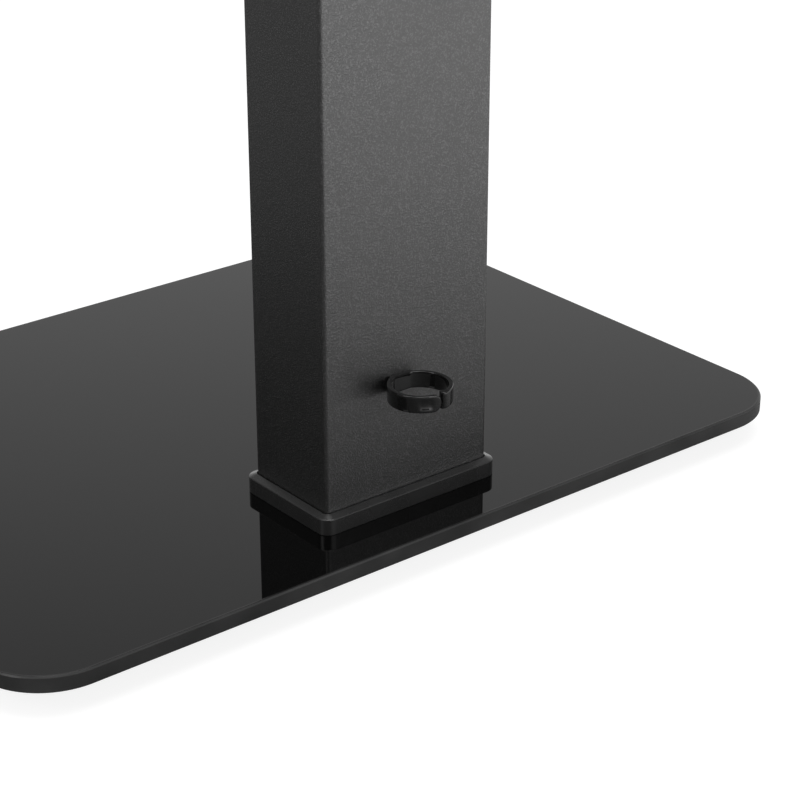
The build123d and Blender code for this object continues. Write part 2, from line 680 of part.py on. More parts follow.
def make_arm():
    """Channel with a hook over the rail's upper lip, screen holes and a tapped tab under the rail."""
    half = arm_width / 2
    front_y = tilt_y - screen_u
    side_x = half - arm_sheet / 2
    back = front_y + arm_depth
    web = front_y + arm_sheet / 2
    channel = folded([(-side_x, back), (-side_x, web), (side_x, web), (side_x, back)], arm_sheet,
                     arm_bend + arm_sheet / 2)
    end = max(screen_holes) + arm_end
    bar = Pos(0, 0, tilt_z - end) * extrude(channel, 2 * end)

    lip_back_u = rail_front_u - rail_sheet - face_gap
    back_u = screen_u - arm_depth
    end_u = screen_u - arm_end_depth
    hook_v = rail_height / 2 + face_gap
    slot_v = lip_top + face_gap
    shoulder_v = lip_top + hook_shoulder
    hook_u = lip_back_u - hook_depth
    outline = make_face(Polyline(
        (screen_u, end), (end_u, end), (back_u, end - arm_taper), (back_u, shoulder_v),
        (hook_u, slot_v), (hook_u, hook_v), (lip_back_u, hook_v), (lip_back_u, slot_v),
        (arm_back_u, slot_v), (arm_back_u, -slot_v), (back_u, -slot_v),
        (back_u, arm_taper - end), (end_u, -end), (screen_u, -end), close=True))
    outline = fillet([v for v in outline.vertices() if math.isclose(v.X, hook_u)], hook_round)
    bar &= across_x(outline, -half, arm_width)

    holes = Sketch()
    slot = Rot(0, 0, 90) * SlotOverall(screen_slot_length, 2 * screen_hole_r)
    for z in {sign * level for level in screen_holes for sign in (-1, 1)}:
        holes += Pos(0, z) * Circle(screen_hole_r)
    for z in {sign * level for level in screen_slots for sign in (-1, 1)}:
        holes += Pos(0, z) * slot
    bar -= across_y(holes, arm_back_u - over, arm_sheet + 2 * over)

    tab_top = -lip_top - lock_tab_drop
    tab = upright(arm_back_u - lock_tab_depth, arm_back_u, tab_top - lock_tab_thick, tab_top)
    bar += across_x(tab, arm_sheet - half, arm_width - 2 * arm_sheet)
    screw_u = rail_front_u - rail_sheet - face_gap - lock_screw_r
    screw_at = (0, tilt_y - screw_u, tilt_z + tab_top - lock_tab_thick)
    bar -= rod(lock_screw_r + running_gap, lock_tab_thick + over, screw_at)
    shank = lock_tab_thick + lock_tab_drop + lock_screw_rise
    screw = headed_bolt(lock_screw_r, lock_head_r, lock_head_h, shank, lock_socket_r)
    return bar, Pos(*screw_at) * screw


def make_arms():
    """Both arms at their rest places on the rail."""
    arm, screw = make_arm()
    for side, sign in sides.items():
        put(f"arm_{side}", Pos(sign * arm_rest_x, 0, 0) * arm)
        put(f"arm_lock_screw_{side}", Pos(sign * arm_rest_x, 0, 0) * screw)


def main():
    """Build every node."""
    os.makedirs("parts", exist_ok=True)
    make_base()
    make_collar()
    make_column()
    make_height_clamp()
    make_mast()
    make_swivel()
    make_swivel_bracket()
    make_tilt_joint()
    make_tilt_bracket()
    make_rail()
    make_arms()


main()
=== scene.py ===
import json
import logging
import math
from dataclasses import dataclass
from enum import Enum

import bmesh
import bpy
import numpy as np
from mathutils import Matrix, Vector


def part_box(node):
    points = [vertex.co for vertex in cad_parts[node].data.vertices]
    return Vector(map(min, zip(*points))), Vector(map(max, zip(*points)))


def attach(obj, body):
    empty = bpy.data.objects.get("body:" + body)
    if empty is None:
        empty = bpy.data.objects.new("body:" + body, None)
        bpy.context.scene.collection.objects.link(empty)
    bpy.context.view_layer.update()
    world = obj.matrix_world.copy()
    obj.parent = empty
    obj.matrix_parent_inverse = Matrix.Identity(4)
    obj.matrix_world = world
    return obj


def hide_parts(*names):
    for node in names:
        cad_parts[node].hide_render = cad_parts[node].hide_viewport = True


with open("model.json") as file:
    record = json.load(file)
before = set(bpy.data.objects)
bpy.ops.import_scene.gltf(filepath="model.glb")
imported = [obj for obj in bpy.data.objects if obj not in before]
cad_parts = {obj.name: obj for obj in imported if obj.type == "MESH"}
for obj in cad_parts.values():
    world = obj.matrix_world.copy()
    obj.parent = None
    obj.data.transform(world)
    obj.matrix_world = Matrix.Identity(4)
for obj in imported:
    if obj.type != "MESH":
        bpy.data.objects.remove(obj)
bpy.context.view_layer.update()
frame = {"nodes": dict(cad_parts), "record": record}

# Looks of a television floor stand: a black glass base, a powder coated column with cable clips,
# a telescopic mast and a head that swivels and tilts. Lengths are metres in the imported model's frame.

LOG = logging.getLogger("stand")
MM = 0.001
FLAT_START = 0.12 * MM
FLAT_ROOM = 2.2
Points = np.ndarray


class Side(Enum):
    """Which side of the middle plane a piece is on, as the CAD nodes' names say it."""

    LEFT = "left"
    RIGHT = "right"


class Gloss(Enum):
    """How a moulding came out of its tool: the roughness of its skin."""

    POLISHED = 0.09
    SHEEN = 0.27
    SATIN = 0.38
    DULL = 0.55


class Value:
    """A shader socket whose arithmetic adds Math nodes."""

    def __init__(self, shader: "Shader", socket: bpy.types.NodeSocket) -> None:
        self.shader = shader
        self.socket = socket

    def _math(self, operation: str, first: "Value | float", second: "Value | float") -> "Value":
        """Add one Math node.

        Args:
            operation: Blender's name of the operation.
            first: Value or number on the first socket.
            second: Value or number on the second socket.

        Returns:
            The node's result.
        """
        return self.shader.node("ShaderNodeMath", {"operation": operation}, {0: first, 1: second})[0]

    def __add__(self, other: "Value | float") -> "Value":
        """Sum."""
        return self._math("ADD", self, other)

    __radd__ = __add__

    def __sub__(self, other: "Value | float") -> "Value":
        """Difference."""
        return self._math("SUBTRACT", self, other)

    def __rsub__(self, other: "Value | float") -> "Value":
        """Reflected difference."""
        return self._math("SUBTRACT", other, self)

    def __mul__(self, other: "Value | float") -> "Value":
        """Product."""
        return self._math("MULTIPLY", self, other)

    __rmul__ = __mul__

    def __pow__(self, exponent: float) -> "Value":
        """Power."""
        return self._math("POWER", self, exponent)

    def clamped(self) -> "Value":
        """The value held between 0 and 1."""
        return self.shader.node("ShaderNodeClamp", {}, {0: self})[0]


class Shader:
    """Builds the node tree of one material or of the world."""

    def __init__(self, owner: bpy.types.ID) -> None:
        owner.use_nodes = True
        self.tree = owner.node_tree
        self.tree.nodes.clear()

    def node(self, kind: str, settings: dict, sockets: dict) -> dict:
        """Add a node.

        Args:
            kind: Blender's type name of the node.
            settings: properties that are set first.
            sockets: values or links by socket name or number.

        Returns:
            The node's outputs as Values, by name and by number.
        """
        made = self.tree.nodes.new(kind)
        for key, value in settings.items():
            setattr(made, key, value)
        for key, value in sockets.items():
            socket = made.inputs[key]
            if isinstance(value, Value):
                self.tree.links.new(value.socket, socket)
            else:
                socket.default_value = value
        outputs = {number: Value(self, out) for number, out in enumerate(made.outputs)}
        outputs.update({out.name: Value(self, out) for out in made.outputs if out.enabled})
        return outputs

    def place(self) -> Value:
        """Object coordinates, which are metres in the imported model's frame."""
        return self.node("ShaderNodeTexCoord", {}, {})["Object"]

    def noise(self, size: float, detail: float, stretch: tuple = (1.0, 1.0, 1.0)) -> Value:
        """Noise from 0 to 1.

        Args:
            size: size of its largest blots in metres.
            detail: how many finer layers it has.
            stretch: how much shorter the blots are along X, Y and Z.

        Returns:
            The noise value.
        """
        mapping = {"Vector": self.place(), "Scale": stretch}
        scaled = self.node("ShaderNodeMapping", {}, mapping)["Vector"]
        sockets = {"Vector": scaled, "Scale": 1.0 / size, "Detail": detail, "Roughness": 0.6}
        return self.node("ShaderNodeTexNoise", {}, sockets)[0]

    def blend(self, share: Value, first: tuple, second: tuple) -> Value:
        """Mix two colours.

        Args:
            share: how much of the second colour shows.
            first: colour as RGBA.
            second: colour as RGBA.

        Returns:
            The mixed colour.
        """
        sockets = {0: share, 6: first, 7: second}
        return self.node("ShaderNodeMix", {"data_type": "RGBA"}, sockets)[2]

    def relief(self, height: Value, depth: float) -> Value:
        """Turn a height into a normal.

        Args:
            height: value from 0 to 1.
            depth: what 1 stands for, in metres.

        Returns:
            The normal.
        """
        sockets = {"Strength": 1.0, "Distance": depth, "Height": height}
        return self.node("ShaderNodeBump", {}, sockets)[0]

    def surface(self, sockets: dict) -> None:
        """Finish the material with one principled shader."""
        made = self.node("ShaderNodeBsdfPrincipled", {}, sockets)[0]
        self.node("ShaderNodeOutputMaterial", {}, {"Surface": made})


def rgba(level: float, warm: float = 0.0) -> tuple:
    """A grey as RGBA.

    Args:
        level: linear brightness.
        warm: how much more red than blue it holds, as a share.

    Returns:
        The colour.
    """
    return (level * (1 + warm), level, level * (1 - warm), 1.0)


@dataclass(frozen=True)
class Finish:
    """What all finishes share: a name, the record's slot and a base grey."""

    name: str
    slot: str
    level: float

    def paint(self, shader: Shader) -> None:
        """Build the nodes in a shader."""
        raise NotImplementedError

    def tones(self, shader: Shader, share: Value, low: float, high: float) -> Value:
        """A grey that goes from low to high times the base grey, by the share."""
        return shader.blend(share, rgba(self.level * low), rgba(self.level * high))

    def material(self) -> bpy.types.Material:
        """The finish as a material, made once."""
        found = bpy.data.materials.get(self.name)
        if found is None:
            found = bpy.data.materials.new(self.name)
            self.paint(Shader(found))
        return found


@dataclass(frozen=True)
class PowderCoat(Finish):
    """Baked powder paint with a fine pebbled grain: glossier on the pebbles' tops, which are painted
    paler as a painted highlight, and painted darker in the pits between them as painted shade.
    """

    roughness: float = 0.36
    uneven: float = 0.06
    polish: float = 0.06
    grain: float = 0.68 * MM
    depth: float = 0.24 * MM
    cloud_size: float = 40 * MM
    top_start: float = 0.5
    top_gain: float = 7.0
    # tone: painted shade in the pits and painted highlight on the pebbles' tops, as shares of the base
    # grey
    tone: tuple[float, float] = (0.2, 5.0)
    coat_share: float = 0.85
    index: float = 1.9

    def paint(self, shader: Shader) -> None:
        """Pebbles from fine noise, with a broad, faint change of gloss over them."""
        pebbles = shader.noise(self.grain, 3.0)
        cloud = shader.noise(self.cloud_size, 2.0)
        tops = ((pebbles - self.top_start) * self.top_gain).clamped()
        shader.surface({
            # painted highlight on the pebbles' tops and painted shade in the pits: the colour follows
            # the pebbles' height
            "Base Color": self.tones(shader, tops, *self.tone),
            "Roughness": (cloud - 0.5) * self.uneven + tops * -self.polish + self.roughness,
            "Coat Weight": tops,
            "Coat Roughness": self.roughness * self.coat_share,
            "Specular IOR Level": 1.0,
            "IOR": self.index,
            "Normal": shader.relief(pebbles, self.depth),
        })


@dataclass(frozen=True)
class SatinCoat(Finish):
    """Smooth satin paint with a slight orange peel."""

    roughness: float = 0.36
    uneven: float = 0.08
    peel_size: float = 2.2 * MM
    depth: float = 0.012 * MM
    cloud_size: float = 30 * MM
    tone: tuple[float, float] = (0.85, 1.2)
    index: float = 1.7

    def paint(self, shader: Shader) -> None:
        """Wide shallow ripples, and faint gloss changes."""
        peel = shader.noise(self.peel_size, 1.0)
        cloud = shader.noise(self.cloud_size, 2.0)
        shader.surface({
            "Base Color": self.tones(shader, cloud, *self.tone),
            "Roughness": (cloud - 0.5) * self.uneven + self.roughness,
            "Specular IOR Level": 1.0,
            "IOR": self.index,
            "Normal": shader.relief(peel, self.depth),
        })


@dataclass(frozen=True)
class BlackGlass(Finish):
    """Gloss black glass whose ground edge is lighter: partly the ground finish and partly painted light,
    a painted reflection of the pale surroundings.
    """

    roughness: float = 0.015
    haze: float = 0.02
    haze_size: float = 120 * MM
    ground_and_painted_light_level: float = 0.09
    ground_rough: float = 0.45
    least_patch: float = 0.4
    patch_size: float = 45 * MM
    patch_start: float = 0.55
    patch_gain: float = 2.2
    grit_size: float = 0.5 * MM
    grit_depth: float = 0.02 * MM
    index: float = 1.52

    def paint(self, shader: Shader) -> None:
        """Mirror smooth on top; the attribute ground says how much the lighter edge colour shows, which
        is partly the grinding and partly painted light.
        """
        ground = shader.node("ShaderNodeAttribute", {"attribute_name": "ground"}, {})["Fac"]
        grit = shader.noise(self.grit_size, 2.0)
        patches = shader.noise(self.patch_size, 2.0) * self.patch_gain - self.patch_start
        haze = (shader.noise(self.haze_size, 3.0) - 0.5).clamped()
        shown = ground * (patches.clamped() * (1 - self.least_patch) + self.least_patch)
        shader.surface({
            # lighter edge colour: partly the ground finish, partly a painted reflection, and on the
            # top's margin a painted strip of light
            "Base Color": shader.blend(shown, rgba(self.level), rgba(self.ground_and_painted_light_level)),
            "Roughness": ground * self.ground_rough + haze * self.haze + self.roughness,
            "Normal": shader.relief(grit * ground, self.grit_depth),
            "IOR": self.index,
        })


@dataclass(frozen=True)
class Moulding(Finish):
    """Injection moulded plastic. least_coat is the least of its clear skin, and 0 means none."""

    gloss: Gloss = Gloss.SATIN
    grain: float = 0.35 * MM
    grain_depth: float = 0.04 * MM
    least_coat: float = 0.7
    coat_share: float = 0.9
    flow_size: float = 14 * MM
    flow_stretch: tuple[float, float, float] = (1.0, 1.0, 0.4)
    uneven: float = 0.08
    tone: tuple[float, float] = (0.9, 1.1)
    index: float = 1.6

    def paint(self, shader: Shader) -> None:
        """A fine tool grain that is deeper the duller the gloss, under slow flow marks."""
        grain = shader.noise(self.grain, 2.0)
        flow = shader.noise(self.flow_size, 1.0, self.flow_stretch)
        skin = flow * (1 - self.least_coat) + self.least_coat if self.least_coat else 0.0
        shader.surface({
            "Base Color": self.tones(shader, flow, *self.tone),
            "Roughness": (flow - 0.5) * self.uneven + self.gloss.value,
            "Coat Weight": skin,
            "Coat Roughness": self.gloss.value * self.coat_share,
            "Normal": shader.relief(grain, self.grain_depth * self.gloss.value),
            "IOR": self.index,
        })


@dataclass(frozen=True)
class Rubber(Finish):
    """Black rubber, dull, with a dusty bloom."""

    roughness: float = 0.62
    grain: float = 0.5 * MM
    grain_depth: float = 0.03 * MM
    bloom_size: float = 9 * MM
    bloom_rough: float = 0.15
    tone: tuple[float, float] = (0.7, 1.5)

    def paint(self, shader: Shader) -> None:
        """Fine grain under patches of lighter bloom."""
        grain = shader.noise(self.grain, 3.0)
        bloom = shader.noise(self.bloom_size, 3.0)
        shader.surface({
            "Base Color": self.tones(shader, bloom, *self.tone),
            "Roughness": bloom * self.bloom_rough + self.roughness,
            "Normal": shader.relief(grain, self.grain_depth),
        })


@dataclass(frozen=True)
class ZincSteel(Finish):
    """Bright zinc plating with fine drawn marks and a faint uneven tint."""

    roughness: float = 0.24
    marks_size: float = 0.35 * MM
    marks_rough: float = 0.14
    marks_depth: float = 0.008 * MM
    tint_size: float = 3 * MM
    warm: float = 0.02
    cool_share: float = 0.82

    def paint(self, shader: Shader) -> None:
        """Crystal noise goes from a warm to a darker, cool grey; fine marks break up the gloss."""
        marks = shader.noise(self.marks_size, 2.0)
        tint = shader.noise(self.tint_size, 2.0)
        cool = rgba(self.level * self.cool_share, -self.warm)
        shader.surface({
            "Base Color": shader.blend(tint, rgba(self.level, self.warm), cool),
            "Metallic": 1.0,
            "Roughness": marks * self.marks_rough + self.roughness,
            "Normal": shader.relief(marks, self.marks_depth),
        })


class Finishes:
    """The finishes of the stand."""

    glass = BlackGlass("black_glass_finish", "black_glass", 0.0006)
    textured = PowderCoat("textured_coat_finish", "textured_coat", 0.007)
    smooth = SatinCoat("smooth_coat_finish", "smooth_coat", 0.012)
    satin = Moulding("satin_plastic_finish", "black_plastic", 0.01)
    tray = Moulding("tray_plastic_finish", "black_plastic", 0.024, Gloss.SHEEN, 0.5 * MM)
    clip = Moulding("gloss_clip_finish", "gloss_clip", 0.006, Gloss.POLISHED, 0.8 * MM)
    nylon = Moulding("nylon_finish", "nylon", 0.62, Gloss.DULL, least_coat=0.0)
    rubber = Rubber("rubber_finish", "black_rubber", 0.022)
    zinc = ZincSteel("zinc_finish", "zinc_steel", 0.62)


def dress(piece: bpy.types.Object, finish: Finish) -> None:
    """Give a piece its finish.

    Args:
        piece: mesh object.
        finish: what it is covered with.
    """
    piece.data.materials.clear()
    piece.data.materials.append(finish.material())


def fillet_path(corners: list[tuple], radii: list[float], steps: int = 5) -> Points:
    """Round the inner corners of an open polyline.

    Each corner becomes an arc that touches both runs. The arc's centre lies on the corner's bisector,
    at radius / sin(half the angle between the runs). A point just past each end of the arc keeps
    the shading of the flat beside it flat. It is left out where the run is not FLAT_ROOM times as
    long as what arc and point take up of it.

    Args:
        corners: points as pairs.
        radii: one radius for each inner corner, 0 for a sharp one.
        steps: segments in each arc.

    Returns:
        The rounded path as rows of pairs.
    """
    points = np.asarray(corners, float)
    rows = [points[:1]]
    for before, corner, after, radius in zip(points, points[1:], points[2:], radii):
        if radius <= 0:
            rows.append(corner[None])
            continue
        back = (before - corner) / np.linalg.norm(before - corner)
        ahead = (after - corner) / np.linalg.norm(after - corner)
        half = math.acos(float(np.clip(back @ ahead, -1, 1))) / 2
        middle = (back + ahead) / np.linalg.norm(back + ahead)
        centre = corner + middle * radius / math.sin(half)
        reach = radius / math.tan(half)
        start = corner + back * reach - centre
        end = corner + ahead * reach - centre
        first = math.atan2(start[1], start[0])
        turn = math.remainder(math.atan2(end[1], end[0]) - first, 2 * math.pi)
        angles = first + turn * np.linspace(0, 1, steps + 1)
        beyond = reach + FLAT_START
        if np.linalg.norm(before - corner) > FLAT_ROOM * beyond:
            rows.append((corner + back * beyond)[None])
        rows.append(centre + radius * np.stack([np.cos(angles), np.sin(angles)], axis=1))
        if np.linalg.norm(after - corner) > FLAT_ROOM * beyond:
            rows.append((corner + ahead * beyond)[None])
    rows.append(points[-1:])
    return np.concatenate(rows)


def rounded_outline(width: float, depth: float, insets: Points, corners: Points,
                    steps: int) -> Points:
    """Outlines of a rounded rectangle, one for each inset.

    A point is its corner's centre plus the corner's radius times a unit direction, where the centre
    lies at half the size less inset and radius. Where the sides have room, each gets a point just
    past the arc at both its ends, which keeps its shading flat.

    Args:
        width: size along X.
        depth: size along Y.
        insets: how far each outline lies inside the full size.
        corners: corner radius of each outline.
        steps: segments in each quarter turn.

    Returns:
        Array of outlines by points by X and Y.
    """
    half = np.array([width, depth]) / 2
    places = half - insets[:, None] - corners[:, None]
    pad = 1 if places.min() > 4 * FLAT_START else 0
    quarter = np.pad(np.linspace(0, np.pi / 2, steps + 1), pad, "edge")
    slide = np.pad(np.zeros(steps + 1), pad, constant_values=(-FLAT_START, FLAT_START))
    angles = np.concatenate([quarter + turn * np.pi / 2 for turn in range(4)])
    direction = np.stack([np.cos(angles), np.sin(angles)], axis=1)
    tangent = np.stack([-np.sin(angles), np.cos(angles)], axis=1)
    signs = np.repeat([[1, 1], [-1, 1], [-1, -1], [1, -1]], len(quarter), axis=0)
    arcs = places[:, None, :] * signs + corners[:, None, None] * direction
    return arcs + np.tile(slide, 4)[:, None] * tangent


class Form:
    """Collects closed surfaces and makes one mesh of them."""

    def __init__(self) -> None:
        self.points: list[Points] = []
        self.faces: list[list[int]] = []
        self.marks: list[Points] = []
        self.count = 0

    def add(self, grid: Points, closed: bool = False, mark: Points | None = None) -> "Form":
        """Add a surface whose rows are closed rings.

        Quads join each ring to the next. The last ring is joined to the first, or both ends are
        capped. The faces turn round where their signed volume comes out negative.

        Args:
            grid: array of rings by points by X, Y and Z.
            closed: whether the last ring joins the first.
            mark: one number for each ring, kept as the attribute ground.

        Returns:
            This form.
        """
        rings, around = grid.shape[:2]
        index = np.arange(rings * around).reshape(rings, around)
        first = index if closed else index[:-1]
        second = np.roll(index, -1, axis=0) if closed else index[1:]
        around_first, around_second = np.roll(first, -1, 1), np.roll(second, -1, 1)
        quads = np.stack([first, around_first, around_second, second], axis=-1).reshape(-1, 4)
        flat = grid.reshape(-1, 3)
        a, b, c, d = (flat[quads[:, k]] for k in range(4))
        volume = (np.cross(a, b) * c).sum() + (np.cross(a, c) * d).sum()
        caps = [] if closed else [index[0][::-1], index[-1]]
        for cap in caps:
            fan = flat[cap]
            volume += (np.cross(fan[0], fan[1:-1]) * fan[2:]).sum()
        faces = [*quads.tolist(), *[cap.tolist() for cap in caps]]
        if volume < 0:
            faces = [face[::-1] for face in faces]
        self.faces += [[i + self.count for i in face] for face in faces]
        self.points.append(flat)
        self.marks.append(np.repeat(mark if mark is not None else np.zeros(rings), around))
        self.count += len(flat)
        return self

    def build(self, name: str, body: str, finish: Finish, replaces: tuple[str, ...],
              sharp: float = 38.0) -> None:
        """Make the object, dress it and hang it on its body.

        Args:
            name: the piece's name.
            body: the body that it moves with.
            finish: what it is covered with.
            replaces: CAD nodes that it stands for.
            sharp: edges that turn by more degrees than this stay sharp.
        """
        mesh = bpy.data.meshes.new(name)
        mesh.from_pydata(np.concatenate(self.points).tolist(), [], self.faces)
        ground = mesh.attributes.new("ground", "FLOAT", "POINT")
        ground.data.foreach_set("value", np.concatenate(self.marks).astype(np.float32))
        mesh.shade_smooth()
        mesh.set_sharp_from_angle(angle=math.radians(sharp))
        piece = bpy.data.objects.new(name, mesh)
        bpy.context.scene.collection.objects.link(piece)
        dress(piece, finish)
        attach(piece, body)
        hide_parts(*replaces)
        LOG.info("%s: %d points on %s", name, self.count, body)


def stack(width: float, depth: float, corner: float, profile: Points, centre: tuple,
          steps: int, least: float = 0.0) -> Points:
    """Rings of a rounded rectangle that follow a profile.

    Ring number i is the outline at inset profile[i, 0], at height profile[i, 1]. Its corner radius
    is the full one less the inset, and never under the least.

    Args:
        width: size along X.
        depth: size along Y.
        corner: radius of the full outline's corners.
        profile: rows of inset and height.
        centre: X and Y of the middle.
        steps: segments in each quarter turn.
        least: smallest corner radius.

    Returns:
        Array of rings by points by X, Y and Z.
    """
    insets = profile[:, 0]
    rings = rounded_outline(width, depth, insets, np.maximum(corner - insets, least), steps)
    heights = np.broadcast_to(profile[:, 1, None, None], (*rings.shape[:2], 1))
    return np.concatenate([rings + np.asarray(centre), heights], axis=2)


def block(node: str) -> tuple[Vector, Vector, Vector]:
    """Lowest corner, highest corner and middle of a CAD node."""
    low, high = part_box(node)
    return low, high, (low + high) / 2


@dataclass
class Base:
    """Glass plate on rubber feet."""

    corner: float = 35 * MM
    arris: float = 0.8 * MM
    soft: float = 0.18 * MM
    rim: float = 6 * MM
    margin: float = 0.7 * MM
    margin_end: float = 0.1 * MM
    arris_share: float = 0.12
    side_ground: float = 0.5
    arris_ground: float = 0.65
    painted_margin_light: float = 0.3
    foot_closing: float = 0.98
    foot_taper: float = 2.5 * MM
    foot_hollow: float = 0.8 * MM
    hollow_inner: float = 0.55
    hollow_outer: float = 0.45

    def glass(self) -> None:
        """A slab with ground arrises, each a flat of 45 degrees between two small rounds.

        The grinding shows most on the arris and less on the side, where its lighter colour is partly
            a painted reflection of the pale surroundings. A narrow margin of the top is painted lighter
            as
            well: a painted strip of the light that comes through the glass edge.
        """
        low, high, middle = block("base_glass")
        size = high - low
        a, bottom, top = self.arris, low.z, high.z
        edge = a + self.margin
        corners = [(self.rim, bottom), (a, bottom), (0, bottom + a), (0, top - a), (a, top),
                   (edge, top), (edge + self.margin_end, top), (self.rim, top)]
        profile = fillet_path(corners, [self.soft] * 4 + [0, 0])
        depth = np.minimum(profile[:, 1] - bottom, top - profile[:, 1]) / a
        near_rim = profile[:, 0] < edge + self.margin_end / 2
        # the top's margin: a painted strip of the light that comes through the glass edge
        painted_margin_strip = np.where(near_rim, self.painted_margin_light, 0.0)
        # side and arris: lighter as ground glass, and partly as a painted reflection
        ground = np.select([depth > 1 - self.arris_share, depth > self.arris_share],
                           [self.side_ground, self.arris_ground], painted_margin_strip)
        rings = stack(size.x, size.y, self.corner, profile, middle[:2], 28)
        form = Form().add(rings, mark=ground)
        form.build("glass_plate", "stand", Finishes.glass, ("base_glass",))

    def feet(self) -> None:
        """Tapered feet with a rounded tread and a shallow hollow below."""
        for end in ("front", "back"):
            for side in Side:
                node = f"glass_foot_{end}_{side.value}"
                low, high, middle = block(node)
                radius = (high.x - low.x) / 2
                tall, hollow = high.z - low.z, self.foot_hollow
                closing = radius * self.foot_closing
                corners = [(closing, hollow), (radius * self.hollow_inner, hollow),
                           (radius * self.hollow_outer, 0), (self.foot_taper, 0), (0, tall),
                           (closing, tall)]
                profile = fillet_path(corners, [1 * MM, 1 * MM, 1.2 * MM, 0.5 * MM])
                rings = stack(2 * radius, 2 * radius, radius, profile, middle[:2], 12)
                name = f"foot_{end}_{side.value}"
                Form().add(rings).build(name, "stand", Finishes.rubber, (node,))

    def build(self) -> None:
        """Make the pieces that show."""
        self.glass()
        self.feet()


@dataclass
class Column:
    """Outer tube, its collar at the foot and the guide bush at the top."""

    corner: float = 2 * MM
    wall: float = 2 * MM
    burr: float = 0.35 * MM
    collar_corner: float = 6 * MM
    collar_slope: float = 3.7 * MM
    collar_side: float = 7.8 * MM
    collar_round: float = 0.55 * MM
    collar_floor: float = 2 * MM
    collar_hidden: float = 0.95
    bush_play: float = 0.2 * MM
    bush_wall: float = 6.7 * MM

    def tube(self) -> None:
        """The wall's section, with eased rims, carried round the rounded rectangle."""
        low, high, middle = block("column_tube")
        size = high - low
        w, b, bottom, top = self.wall, self.burr, low.z, high.z
        start = (0, (bottom + top) / 2)
        corners = [start, (0, top), (w, top), (w, bottom), (0, bottom), start]
        profile = fillet_path(corners, [b] * 4)[:-1]
        rings = stack(size.x, size.y, self.corner, profile, middle[:2], 8, self.corner / 2)
        form = Form().add(rings, closed=True)
        form.build("column_outer", "stand", Finishes.textured, ("column_tube",))

    def collar(self) -> None:
        """A tray: straight side, ridge, top that slopes to the column, and an inner wall."""
        low, high, middle = block("foot_collar")
        size = high - low
        slope, ridge = self.collar_slope, low.z + self.collar_side
        floor = low.z + self.collar_floor
        hidden = self.collar_corner * self.collar_hidden
        corners = [(hidden, low.z), (0, low.z), (0, ridge), (slope, high.z), (slope, floor),
                   (hidden, floor)]
        profile = fillet_path(corners, [0.3 * MM, self.collar_round, 0.2 * MM, 0.2 * MM])
        rings = stack(size.x, size.y, self.collar_corner, profile, middle[:2], 12)
        Form().add(rings).build("column_collar", "stand", Finishes.tray, ("foot_collar",))

    def bush(self) -> None:
        """Flange on the column's rim, with a skirt that reaches into the tube."""
        low, high, middle = block("column_guide_bush")
        column_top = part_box("column_tube")[1].z
        size = high - low
        fit, bore = self.wall + self.bush_play, self.bush_wall
        start = (0, (column_top + high.z) / 2)
        corners = [start, (0, high.z), (bore, high.z), (bore, low.z), (fit, low.z),
                   (fit, column_top), (0, column_top), start]
        profile = fillet_path(corners, [1.2 * MM, 0.8 * MM, 0.3 * MM, 0.3 * MM, 0.1 * MM, 0.4 * MM])[:-1]
        rings = stack(size.x, size.y, self.corner, profile, middle[:2], 8, 1 * MM)
        form = Form().add(rings, closed=True)
        form.build("column_bush", "stand", Finishes.satin, ("column_guide_bush",))

    def build(self) -> None:
        """Make the pieces that show."""
        self.tube()
        self.collar()
        self.bush()


